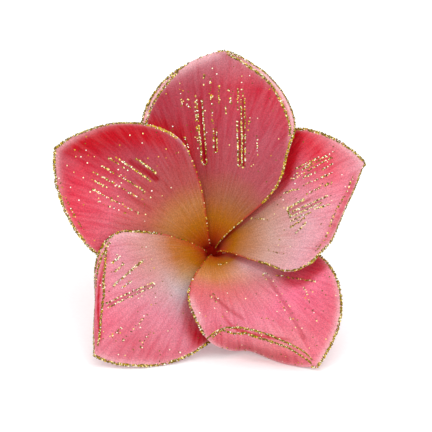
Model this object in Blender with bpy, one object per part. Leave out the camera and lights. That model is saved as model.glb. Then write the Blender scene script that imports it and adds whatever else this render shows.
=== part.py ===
"""Frangipani flower: five broad petals that overlap in a pinwheel, on a narrow tube with a calyx and a short
cut stalk, and with its five stamens and its pistil hidden in the foot of the tube.

The flower is modelled about its own axis, local +Z out of its mouth, with local +Y towards the top petal. An
empty then tips it, so that it rests on its two lower petals and on the cut end of its stalk, as a picked
flower does. World units are metres, +Z is up, and the origin is on the ground under the flower's middle.
"""

import math
from dataclasses import dataclass

import bmesh
import bpy
from mathutils import Vector

# Lengths in this file are millimetres up to the point where a mesh is made, which is in metres.
MM = 0.001

# How the picked flower lies: its axis is this far from upright, and this far over to one side.
AXIS_TILT = 43.2
AXIS_ROLL = 0.4

# The funnel that the petals follow: its mouth, and the slopes of its wall in degrees above level.
MOUTH_RADIUS = 1.6
THROAT_SLOPE = 66.0
THROAT_LENGTH = 9.0
TOP_SLOPE = 26.0
BOTTOM_SLOPE = 14.0
TIP_RECURVE = 20.0
MEAN_LENGTH = 50.0
FUNNEL_STEPS = 24

# The pinwheel: each petal's clockwise half lies over its neighbour by this distance between their faces.
SPIRAL_GAP = 1.2
SPIRAL_GAP_GROWTH = 0.11
NEIGHBOUR_ANGLE = 72.0

# The petal's sheet: thick in the middle, thin at its margins and its foot.
PETAL_THICKNESS = 0.95
MARGIN_THICKNESS_SHARE = 0.5
FOOT_THICKNESS_SHARE = 0.5
MARGIN_TAPER = 5.0
FOOT_TAPER = 7.0
FOOT_SPREAD_SHARE = 0.75
FOOT_SPREAD_LENGTH = 0.15
CORNER_PLACE = 0.62
CORNER_WIDTH = 0.13
MARGIN_SHARE = 0.9
ROLL_PLACE = 0.25
ROLL_WIDTH = 0.16
ROLL_FOOT_WIDTH = 0.09
TIP_ROLL = 12.0
TIP_ROLL_WIDTH = 0.55
PETAL_CELLS = 14

# The tail behind the petals, as distances along the flower's axis: 0 is the mouth and minus is behind it.
TUBE_RIM = -0.1
TUBE_FOOT = -13.5
TUBE_RADIUS = 1.8
TUBE_WALL = 0.4
TUBE_FLARE = 2.0
TUBE_FLARE_LENGTH = 1.8
FOOT_SWELL = 0.55
FOOT_SWELL_PLACE = -11.5
FOOT_SWELL_LENGTH = 2.5
TUBE_RINGS = 12
CALYX_FLOOR = -13.8
CALYX_BOTTOM = -15.8
CALYX_LOBE_HEIGHT = 0.9
STALK_TOP = -16.1
STALK_END = -19.3
STALK_RADIUS = 1.1
STAMENS = 5
STAMEN_RING_RADIUS = 1.2
ROUND_STEPS = 24
FINE_ROUND_STEPS = 12


@dataclass(frozen=True)
class Side:
    """Half of a petal's outline: its half-angle at the foot in degrees, how far up it stays wide, how it closes
    towards the tip, and the share by which it is drawn out into a blunt corner."""

    spread: float
    carry: float
    closing: float
    corner: float = 0.0


@dataclass(frozen=True)
class Petal:
    """One petal. azimuth is clockwise from the top as seen from the front, over is the clockwise side, which
    lies over the next petal, and under is the side tucked beneath. The over margin is folded back through roll
    degrees at roll_radius, with a straight flap beyond the fold."""

    name: str
    azimuth: float
    length: float
    over: Side
    under: Side
    roll: float
    roll_radius: float
    flap: float
    colour: str
    lift: float = 0.0
    bend: float = 0.0


PETALS = (
    Petal("petal_top", 3.0, 50.3, Side(62, 2.85, 0.86, -0.1), Side(50, 3.5, 0.82), 45, 2.0, 0.6, "#bf4e58"),
    Petal(
        "petal_upper_right", 68.4, 44.6, Side(62.5, 3.2, 1.63, 0.22), Side(54, 3.5, 0.78, 0.06), 75, 1.5, 1.0,
        "#eb95a2",
    ),
    Petal(
        "petal_lower_right", 143.7, 46.7, Side(60.5, 3.6, 1.3, -0.08), Side(45.5, 4.2, 1.0, 0.06), 92, 1.8, 4.3,
        "#e8838f", lift=-0.3, bend=2.0,
    ),
    Petal(
        "petal_lower_left", 219.8, 46.4, Side(52, 3.25, 1.44, 0.15), Side(43.5, 3.5, 0.9, 0.14), 80, 1.5, 1.2,
        "#e8929f", lift=-1.0,
    ),
    Petal(
        "petal_upper_left", 295.5, 47.3, Side(55.5, 2.8, 1.0, 0.06), Side(56.5, 2.4, 0.97, 0.1), 30, 2.0, 0.4,
        "#d95565",
    ),
)


def linear_channel(value):
    return value / 12.92 if value <= 0.04045 else ((value + 0.055) / 1.055) ** 2.4


def linear_colour(hex_colour):
    """The linear RGBA of an sRGB colour such as #ffcc00."""
    channels = [int(hex_colour[i : i + 2], 16) / 255 for i in (1, 3, 5)]
    return (*map(linear_channel, channels), 1.0)


def skin(name, hex_colour, roughness):
    """A plant-skin material; nothing on a flower is metallic."""
    material = bpy.data.materials.new(name)
    material.use_nodes = True
    shader = material.node_tree.nodes["Principled BSDF"]
    shader.inputs["Base Color"].default_value = linear_colour(hex_colour)
    shader.inputs["Roughness"].default_value = roughness
    shader.inputs["Metallic"].default_value = 0.0
    return material


def add_object(name, bm, flower, material):
    """Turns a bmesh in metres into a smooth-shaded child of the flower's empty."""
    mesh = bpy.data.meshes.new(name)
    bm.to_mesh(mesh)
    bm.free()
    mesh.shade_smooth()
    mesh.materials.append(material)
    return add_child(name, mesh, flower)


def add_child(name, mesh, flower):
    obj = bpy.data.objects.new(name, mesh)
    bpy.context.scene.collection.objects.link(obj)
    obj.parent = flower
    return obj


def clamp(value, low=0.0, high=1.0):
    return min(max(value, low), high)


def side_angle(side, along):
    """The half-angle, in radians, that a petal spans on one side, at a share of its length from 0 to 1."""
    narrowing = (1 - FOOT_SPREAD_SHARE) * math.exp(-along / FOOT_SPREAD_LENGTH)
    corner = 1 + side.corner * math.exp(-(((along - CORNER_PLACE) / CORNER_WIDTH) ** 2))
    return math.radians(side.spread) * (1 - along**side.carry) ** side.closing * (1 - narrowing) * corner


def margin_point(petal, turn):
    """A point of the petal's outline laid flat, with the flower's axis at (0, 0) and the tip on +Y. turn is 0
    at the tip and runs to 1 at the foot on the over side, and to -1 on the under side."""
    way = clamp(abs(turn) / MARGIN_SHARE)
    foot_share = clamp((abs(turn) - MARGIN_SHARE) / (1 - MARGIN_SHARE))
    along = clamp(0.5 + 0.5 * math.cos(math.pi * way))
    side = petal.over if turn >= 0 else petal.under
    angle = math.copysign(side_angle(side, along) * (1 - foot_share), turn)
    reach = MOUTH_RADIUS + along * petal.length
    return Vector((reach * math.sin(angle), reach * math.cos(angle)))


def margin_roll(petal, turn):
    """The angle, in radians, through which the margin is folded back, and the width of the flap beyond."""
    width = ROLL_WIDTH if turn < ROLL_PLACE else ROLL_FOOT_WIDTH
    share = math.exp(-(((turn - ROLL_PLACE) / width) ** 2))
    tip_roll = TIP_ROLL * math.exp(-((turn / TIP_ROLL_WIDTH) ** 2))
    return math.radians(petal.roll * share + tip_roll), petal.flap * share


def sheet_point(petal, across, up):
    """Lays a point of the square from -1 to 1 on the flat petal. Gives its place, how far the rolled margin has
    carried it behind the sheet, and its distance from the margin along the sheet."""
    round_x = across * math.sqrt(1 - up * up / 2)
    round_y = up * math.sqrt(1 - across * across / 2)
    ring = math.hypot(round_x, round_y)
    turn = math.atan2(round_x, round_y) / math.pi
    centre = Vector((0.0, MOUTH_RADIUS + petal.length / 2))
    spoke = margin_point(petal, turn) - centre
    inset = (1 - ring) * spoke.length
    roll, flap = margin_roll(petal, turn)
    rolled = petal.roll_radius * roll + flap
    reach = ring * spoke.length
    behind = 0.0
    if inset < rolled:
        wrap = min((rolled - inset) / petal.roll_radius, roll)
        past_fold = max(flap - inset, 0.0)
        reach = spoke.length - rolled + petal.roll_radius * math.sin(wrap) + past_fold * math.cos(roll)
        behind = petal.roll_radius * (1 - math.cos(wrap)) + past_fold * math.sin(roll)
    return centre + spoke.normalized() * reach, behind, inset


def wall_slope(along, bearing):
    """The funnel wall's slope, in radians, at a distance from the mouth: steep in the throat, then flatter,
    and turned down at the tips. The wall is flatter towards the bottom petals."""
    middle = (TOP_SLOPE + BOTTOM_SLOPE) / 2 + (TOP_SLOPE - BOTTOM_SLOPE) / 2 * math.cos(bearing)
    throat = (THROAT_SLOPE - middle) * math.exp(-along / THROAT_LENGTH)
    return math.radians(middle + throat - TIP_RECURVE * (along / MEAN_LENGTH) ** 3)


def funnel_point(along, bearing):
    """Radius and height of the funnel wall at a distance along it from the mouth, and its slope there."""
    radius = MOUTH_RADIUS
    height = 0.0
    step = along / FUNNEL_STEPS
    for i in range(FUNNEL_STEPS):
        slope = wall_slope((i + 0.5) * step, bearing)
        radius += step * math.cos(slope)
        height += step * math.sin(slope)
    return radius, height, wall_slope(along, bearing)


def petal_point(petal, across, up):
    """A point of the petal's front face in the flower's own frame, in millimetres, and the sheet's share of
    its full thickness there."""
    flat, behind, inset = sheet_point(petal, across, up)
    along = max(flat.length - MOUTH_RADIUS, 0.0)
    off_centre = math.atan2(flat.x, flat.y)
    bearing = math.radians(petal.azimuth) + off_centre
    radius, height, slope = funnel_point(along, bearing)
    outer_share = (along / MEAN_LENGTH) ** 2
    spread = 2 * math.sin(math.radians(NEIGHBOUR_ANGLE / 2))
    raised = (SPIRAL_GAP + SPIRAL_GAP_GROWTH * along) * math.sin(off_centre) / spread
    raised += petal.lift * outer_share - behind
    bearing += math.radians(petal.bend) * outer_share
    outward = Vector((math.sin(bearing), math.cos(bearing), 0.0))
    axis = Vector((0.0, 0.0, 1.0))
    normal = axis * math.cos(slope) - outward * math.sin(slope)
    margin_share = MARGIN_THICKNESS_SHARE + (1 - MARGIN_THICKNESS_SHARE) * clamp(inset / MARGIN_TAPER)
    foot_share = FOOT_THICKNESS_SHARE + (1 - FOOT_THICKNESS_SHARE) * clamp(along / FOOT_TAPER)
    return outward * radius + axis * height + normal * raised, min(margin_share, foot_share)


def add_petal(petal, flower):
    """A grid laid on the petal's front face, thickened backwards by a Solidify modifier."""
    bm = bmesh.new()
    bmesh.ops.create_grid(bm, x_segments=PETAL_CELLS, y_segments=PETAL_CELLS, size=1.0)
    shares = []
    for vert in bm.verts:
        place, share = petal_point(petal, vert.co.x, vert.co.y)
        vert.co = place * MM
        shares.append(share)
    obj = add_object(petal.name, bm, flower, skin(petal.name, petal.colour, 0.45))
    group = obj.vertex_groups.new(name="thickness")
    for index, share in enumerate(shares):
        group.add([index], share, "REPLACE")
    solidify = obj.modifiers.new("thickness", "SOLIDIFY")
    solidify.thickness = PETAL_THICKNESS * MM
    solidify.offset = -1.0
    solidify.vertex_group = group.name
    return obj


def turned(profile, closed, steps):
    """A bmesh turned about the flower's axis from (radius, height) points in millimetres. A closed profile is
    a tube's wall, and an open one starts and ends on the axis."""
    bm = bmesh.new()
    verts = [bm.verts.new((radius * MM, 0.0, height * MM)) for radius, height in profile]
    edges = [bm.edges.new(pair) for pair in zip(verts, verts[1:])]
    if closed:
        edges.append(bm.edges.new((verts[-1], verts[0])))
    bmesh.ops.spin(
        bm, geom=verts + edges, cent=(0, 0, 0), axis=(0, 0, 1), angle=math.tau, steps=steps, use_merge=True
    )
    bmesh.ops.remove_doubles(bm, verts=bm.verts, dist=0.001 * MM)
    bmesh.ops.recalc_face_normals(bm, faces=bm.faces)
    return bm


def tube_radius(height):
    """The tube's outer radius: narrow in the middle, flared at the mouth, and swollen round the stamens."""
    flare = TUBE_FLARE * math.exp(height / TUBE_FLARE_LENGTH)
    swell = FOOT_SWELL * math.exp(-(((height - FOOT_SWELL_PLACE) / FOOT_SWELL_LENGTH) ** 2))
    return TUBE_RADIUS + flare + swell


def add_tube(flower):
    """The corolla tube, open at both ends, whose flared rim holds the feet of the petals."""
    heights = []
    for i in range(TUBE_RINGS + 1):
        share = 1 - (1 - i / TUBE_RINGS) ** 1.6
        heights.append(TUBE_FOOT + (TUBE_RIM - TUBE_FOOT) * share)
    outer = [(tube_radius(height), height) for height in heights]
    inner = [(radius - TUBE_WALL, height) for radius, height in reversed(outer)]
    bm = turned(outer + inner, closed=True, steps=ROUND_STEPS)
    return add_object("corolla_tube", bm, flower, skin("corolla_tube", "#e9c3a8", 0.5))


def add_calyx(flower):
    """A small cup with five lobes round the foot of the tube."""
    cup = [
        (0.0, CALYX_BOTTOM), (1.25, CALYX_BOTTOM), (2.3, CALYX_BOTTOM + 0.9), (3.0, CALYX_BOTTOM + 2.3),
        (3.15, CALYX_FLOOR + 1.6), (2.75, CALYX_FLOOR + 1.6), (2.7, CALYX_FLOOR + 0.3),
        (2.3, CALYX_FLOOR), (0.0, CALYX_FLOOR),
    ]
    lobes = 5
    bm = turned(cup, closed=False, steps=lobes * 6)
    rim = (CALYX_FLOOR + 1.5) * MM
    for vert in bm.verts:
        if vert.co.z > rim:
            bearing = math.atan2(vert.co.x, vert.co.y)
            vert.co.z += CALYX_LOBE_HEIGHT * MM * (0.5 + 0.5 * math.cos(lobes * bearing))
    return add_object("calyx", bm, flower, skin("calyx", "#8a9a4a", 0.55))


def add_stalk(flower):
    """The pedicel, cut off square a few millimetres behind the calyx."""
    profile = [
        (0.0, STALK_END), (STALK_RADIUS - 0.1, STALK_END), (STALK_RADIUS, STALK_END + 0.12),
        (STALK_RADIUS - 0.05, (STALK_END + STALK_TOP) / 2), (STALK_RADIUS + 0.1, STALK_TOP - 0.15),
        (STALK_RADIUS, STALK_TOP), (0.0, STALK_TOP),
    ]
    bm = turned(profile, closed=False, steps=ROUND_STEPS)
    return add_object("pedicel", bm, flower, skin("pedicel", "#7f9446", 0.55))


def add_pistil(flower):
    """The ovary on the calyx floor, with its short style and its stigma."""
    profile = [
        (0.0, -13.5), (0.45, -13.4), (0.6, -12.9), (0.5, -12.4), (0.25, -12.0), (0.22, -11.2),
        (0.42, -10.7), (0.38, -10.3), (0.0, -10.0),
    ]
    bm = turned(profile, closed=False, steps=FINE_ROUND_STEPS)
    return add_object("pistil", bm, flower, skin("pistil", "#c9cf8f", 0.5))


def add_stamens(flower):
    """Five stamens in a ring in the swollen foot of the tube, each a filament with a pointed anther."""
    profile = [
        (0.0, -12.9), (0.16, -12.8), (0.2, -12.2), (0.34, -11.5), (0.3, -10.6), (0.14, -9.95), (0.0, -9.75),
    ]
    bm = turned(profile, closed=False, steps=FINE_ROUND_STEPS)
    first = add_object("stamen_1", bm, flower, skin("stamen", "#e3cf7a", 0.6))
    for i in range(STAMENS):
        stamen = first if i == 0 else add_child(f"stamen_{i + 1}", first.data, flower)
        bearing = math.tau * i / STAMENS
        place = Vector((math.sin(bearing), math.cos(bearing), 0.0))
        stamen.location = place * STAMEN_RING_RADIUS * MM


def world_points(objects):
    """Every point of the finished meshes, in world space."""
    bpy.context.view_layer.update()
    graph = bpy.context.evaluated_depsgraph_get()
    points = []
    for obj in objects:
        evaluated = obj.evaluated_get(graph)
        mesh = evaluated.to_mesh()
        points += [evaluated.matrix_world @ vert.co for vert in mesh.vertices]
        evaluated.to_mesh_clear()
    return points


def lay_on_ground(flower):
    """Tips the flower and puts the bottom centre of its box at the origin."""
    flower.rotation_euler = (math.radians(AXIS_TILT), math.radians(AXIS_ROLL), 0.0)
    points = world_points(flower.children)
    low = Vector([min(point[i] for point in points) for i in range(3)])
    high = Vector([max(point[i] for point in points) for i in range(3)])
    middle = (low + high) / 2
    flower.location = (-middle.x, -middle.y, -low.z)


def main():
    for obj in list(bpy.data.objects):
        bpy.data.objects.remove(obj)
    flower = bpy.data.objects.new("flower", None)
    bpy.context.scene.collection.objects.link(flower)
    for petal in PETALS:
        add_petal(petal, flower)
    add_tube(flower)
    add_calyx(flower)
    add_stalk(flower)
    add_pistil(flower)
    add_stamens(flower)
    lay_on_ground(flower)


if __name__ == "__main__":
    main()
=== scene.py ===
"""Frangipani flower trimmed with gold glitter: its finished petals, tube, calyx, stalk, stamens and pistil,
built round the packed frame of the same flower.

The shapes are worked out about the flower's own axis, local +Z out of its mouth and local +Y towards the top
petal, in millimetres. flower_matrix() then lays them in the frame, which is in metres with +Z up.
"""

import math
from dataclasses import dataclass

import bmesh
import bpy
import numpy as np
from bpy.props import FloatProperty, FloatVectorProperty, IntProperty, PointerProperty
from mathutils import Euler, Matrix, Vector


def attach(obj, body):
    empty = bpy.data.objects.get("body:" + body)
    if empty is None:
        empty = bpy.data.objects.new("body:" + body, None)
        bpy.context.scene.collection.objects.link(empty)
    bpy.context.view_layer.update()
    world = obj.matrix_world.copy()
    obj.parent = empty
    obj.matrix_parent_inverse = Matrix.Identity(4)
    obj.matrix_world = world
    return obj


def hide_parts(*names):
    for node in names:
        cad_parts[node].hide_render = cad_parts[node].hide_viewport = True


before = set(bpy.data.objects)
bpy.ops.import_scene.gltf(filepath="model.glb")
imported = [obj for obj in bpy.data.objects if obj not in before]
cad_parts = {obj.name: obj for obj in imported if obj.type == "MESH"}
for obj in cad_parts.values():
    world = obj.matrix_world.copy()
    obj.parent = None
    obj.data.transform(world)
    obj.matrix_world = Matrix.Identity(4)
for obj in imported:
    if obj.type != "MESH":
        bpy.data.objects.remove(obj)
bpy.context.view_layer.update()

bl_info = {
    "name": "Glittered frangipani flower",
    "version": (1, 0, 0),
    "blender": (4, 5, 0),
    "location": "3D View > Sidebar > Flower",
    "description": "Builds a frangipani flower trimmed with gold glitter, and its stage",
    "category": "Object",
}

MM = 0.001

# No flake lies lower than this, so that none is pressed into the ground.
GROUND_CLEARANCE = 0.25 * MM

# How the picked flower lies: its axis is this far from upright, and this far over to one side.
AXIS_TILT = 43.2
AXIS_ROLL = 0.4

# The funnel that the petals follow: its mouth, and the slopes of its wall in degrees above level.
MOUTH_RADIUS = 1.6
THROAT_SLOPE = 66.0
THROAT_LENGTH = 9.0
TOP_SLOPE = 26.0
BOTTOM_SLOPE = 14.0
TIP_RECURVE = 20.0
MEAN_LENGTH = 50.0
FUNNEL_STEPS = 24

# The pinwheel: each petal's clockwise half lies over its neighbour by this distance between their faces.
SPIRAL_GAP = 1.2
SPIRAL_GAP_GROWTH = 0.11
NEIGHBOUR_ANGLE = 72.0

# How the outline leaves the foot, where the margin rolls back, and how the sheet thins.
FOOT_SPREAD_SHARE = 0.75
FOOT_SPREAD_LENGTH = 0.15
CORNER_PLACE = 0.62
CORNER_WIDTH = 0.13
MARGIN_SHARE = 0.9
ROLL_PLACE = 0.25
ROLL_WIDTH = 0.16
ROLL_FOOT_WIDTH = 0.09
TIP_ROLL = 12.0
TIP_ROLL_WIDTH = 0.55
MARGIN_TAPER = 6.0
FOOT_TAPER = 7.0

# The tail behind the petals, as distances along the flower's axis: 0 is the mouth and minus is behind it.
TUBE_RIM = -0.1
TUBE_FOOT = -13.5
TUBE_RADIUS = 1.8
TUBE_WALL = 0.4
TUBE_FLARE = 2.0
TUBE_FLARE_LENGTH = 1.8
FOOT_SWELL = 0.55
FOOT_SWELL_PLACE = -11.5
FOOT_SWELL_LENGTH = 2.5
CALYX_FLOOR = -13.8
CALYX_BOTTOM = -15.8
STALK_TOP = -15.88
STALK_END = -19.3
STALK_RADIUS = 1.1
STAMENS = 5
STAMEN_RING_RADIUS = 1.2
LINING_TOP = -1.2
CALYX_LOBES = 5
CALYX_RIM = CALYX_FLOOR + 0.7
CALYX_LOBE_HEIGHT = 0.9
ANTHER_RADIUS = 0.34
ANTHER_MIDDLE = -11.1
ANTHER_HALF_LENGTH = 0.9
FURROW_DEPTH = 0.12

# Soft waves across a petal: how many go to a whole turn, how far they twist, and where they rise out of the
# throat, in millimetres from the flower's axis.
COARSE_WAVES = 17
FINE_WAVES = 29
FINE_WAVE_SHARE = 0.6
WAVE_TWIST = 0.07
WAVE_START = 14.0
WAVE_RISE = 16.0

# How far apart the streaks of the veins lie, in degrees, and how long they are, in millimetres.
VEIN_DEGREES = 1.8
VEIN_LENGTH = 9

# A crease's painted shade is wholly red at this depth, and loses this share of its strength towards its outer
# end.
FULL_SHADE_DEPTH = 0.25
CREASE_FADING = 0.3

# Deep red beside the neighbour's edge, which is painted shade cast by that edge, and along the foot's rim; the
# paler free margin; and a paler zone near the foot beside the neighbour's edge, which is painted light coming
# through that edge. Widths are in millimetres, TUCK_START and FREE_START are shares of the petal's length, and
# RIM_START is a turn.
TUCK_START = 0.3
TUCK_RISE = 0.32
TUCK_LEAST_WIDTH = 0.5
SEAM_WIDTH = 0.45
SEAM_STRENGTH = 0.6
RIM_START = 0.38
RIM_WIDTH = 0.55
RIM_STRENGTH = 0.65
FREE_START = 0.45
FREE_WIDTH = 0.7
FREE_STRENGTH = 0.55
GLOW_WIDTH = 1.8

# How glitter lies: how far the beads stand off a crease, how far flakes stray, how unevenly they are
# tilted, and the shares painted white as glints.
BEAD_GAP = 0.15
BEAD_STRAY = 0.08
ROW_STRAY = 0.13
FLAKE_TILT = 0.22
TRIM_GLINT = 0.16
LOOSE_GLINT = 0.4


@dataclass(frozen=True)
class Side:
    """Half of a petal's outline: its half-angle at the foot in degrees, how far up it stays wide, how it closes
    towards the tip, and the share by which it is drawn out into a blunt corner."""

    spread: float
    carry: float
    closing: float
    corner: float = 0.0


@dataclass(frozen=True)
class Crease:
    """A pressed fold that runs from near the tip towards the foot, on the petal laid flat in millimetres with
    the flower's axis at (0, 0). beads is how many flakes lie along each millimetre of each bank."""

    start: tuple
    end: tuple
    depth: float
    width: float
    beads: float = 0.0


@dataclass(frozen=True)
class Dots:
    """A row of loose flakes laid as a crease is, with this many along each millimetre."""

    start: tuple
    end: tuple
    flakes: float


@dataclass(frozen=True)
class Patch:
    """A soft-edged patch of colour beside the margin. turn is 0 at the tip, 1 at the foot round the over side
    and -1 round the under side. inset is the distance in from the margin in millimetres."""

    turn: float
    turn_width: float
    inset: float
    inset_width: float
    strength: float


@dataclass(frozen=True)
class Trim:
    """A line of glitter along the margin. path holds the turns and insets that it passes through, flakes is how
    many lie on each millimetre, and dark is the share of them that look olive."""

    path: tuple
    width: float
    flakes: float
    dark: float = 0.65


@dataclass(frozen=True)
class Petal:
    """One petal. azimuth is clockwise from the top as seen from the front, over is the clockwise side, which
    lies over the next petal, and under is the side tucked beneath. The over margin is folded back through roll
    degrees at roll_radius, with a straight flap beyond the fold. tuck is the width and strength of the deep red
    zone where the petal comes out from beneath its neighbour, glow is how much paler it is there near the foot,
    where light comes through the edge above, and dark is the share of olive flakes."""

    key: str
    azimuth: float
    length: float
    over: Side
    under: Side
    roll: float
    roll_radius: float
    flap: float
    seed: int
    lift: float = 0.0
    bend: float = 0.0
    tuck_shade: tuple = (3.0, 1.0)
    glow: float = 0.0
    dark: float = 0.4
    creases: tuple = ()
    blushes_and_shade: tuple = ()
    pales_and_highlights: tuple = ()
    trims: tuple = ()


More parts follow.
